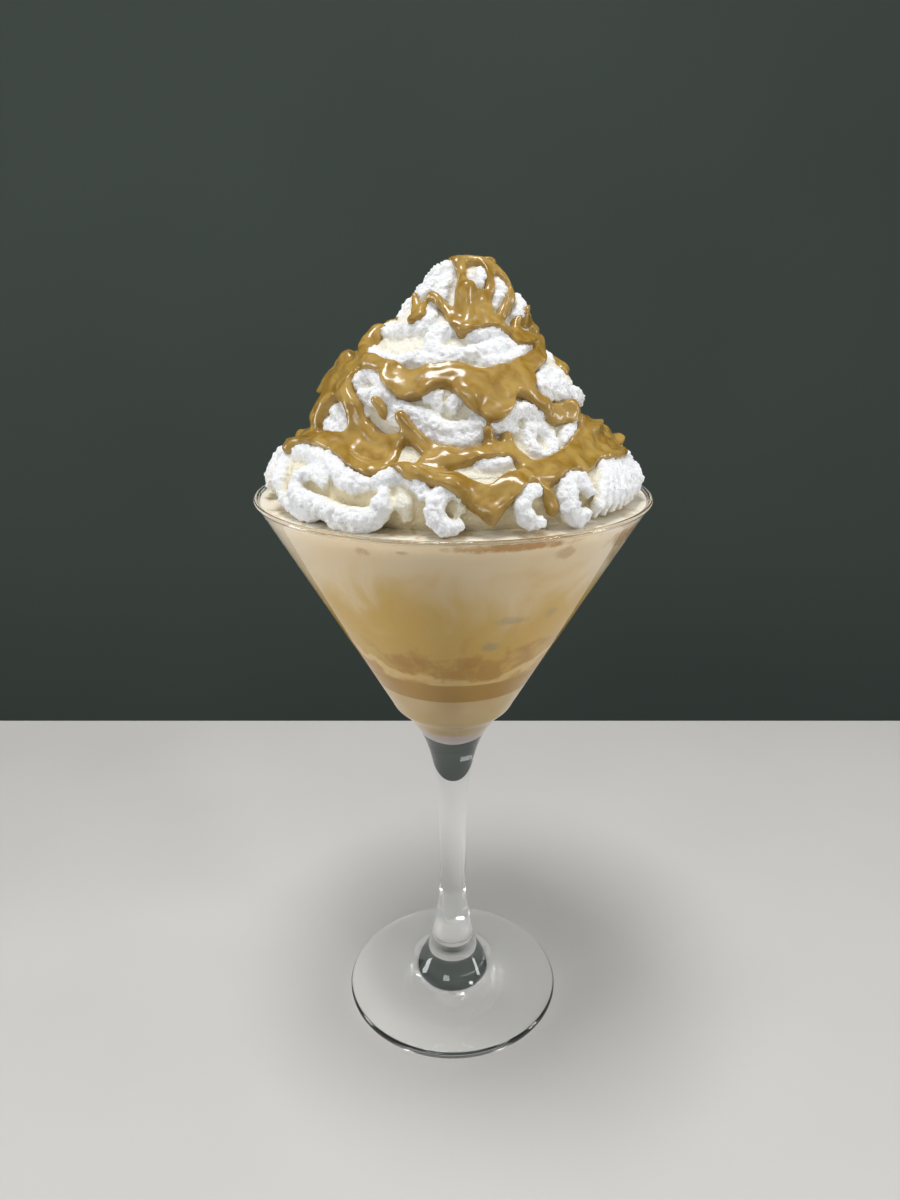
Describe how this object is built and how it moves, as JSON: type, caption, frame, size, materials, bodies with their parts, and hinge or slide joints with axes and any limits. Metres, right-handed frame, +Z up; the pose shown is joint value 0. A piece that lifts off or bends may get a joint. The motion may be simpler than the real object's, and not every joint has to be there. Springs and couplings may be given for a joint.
{
  "type": "ice cream sundae",
  "caption": "Ice cream sundae in a stemmed cocktail glass: layered ice cream and caramel under piped whipped cream with thick caramel sauce.",
  "frame": {"origin": "middle of the underside of the glass's foot", "axes": "+Z up along the stem, -Y to the front of the sundae as it was pictured"},
  "size_m": [0.114, 0.114, 0.2424],
  "materials": {
    "glass": "clear polished glass",
    "pale_cream": "melted cream, smooth",
    "caramel": "thick glossy caramel sauce",
    "caramel_ice_cream": "soft ice cream marbled with caramel",
    "vanilla_cream": "soft vanilla cream, smooth",
    "whipped_cream": "piped whipped cream, fluffy"
  },
  "bodies": {
    "root": {"glass": "glass", "base_cream": "pale_cream", "caramel_layer": "caramel", "caramel_ice_cream": "caramel_ice_cream", "vanilla_cream": "vanilla_cream", "whipped_cream": "whipped_cream"}
  },
  "joints": []
}
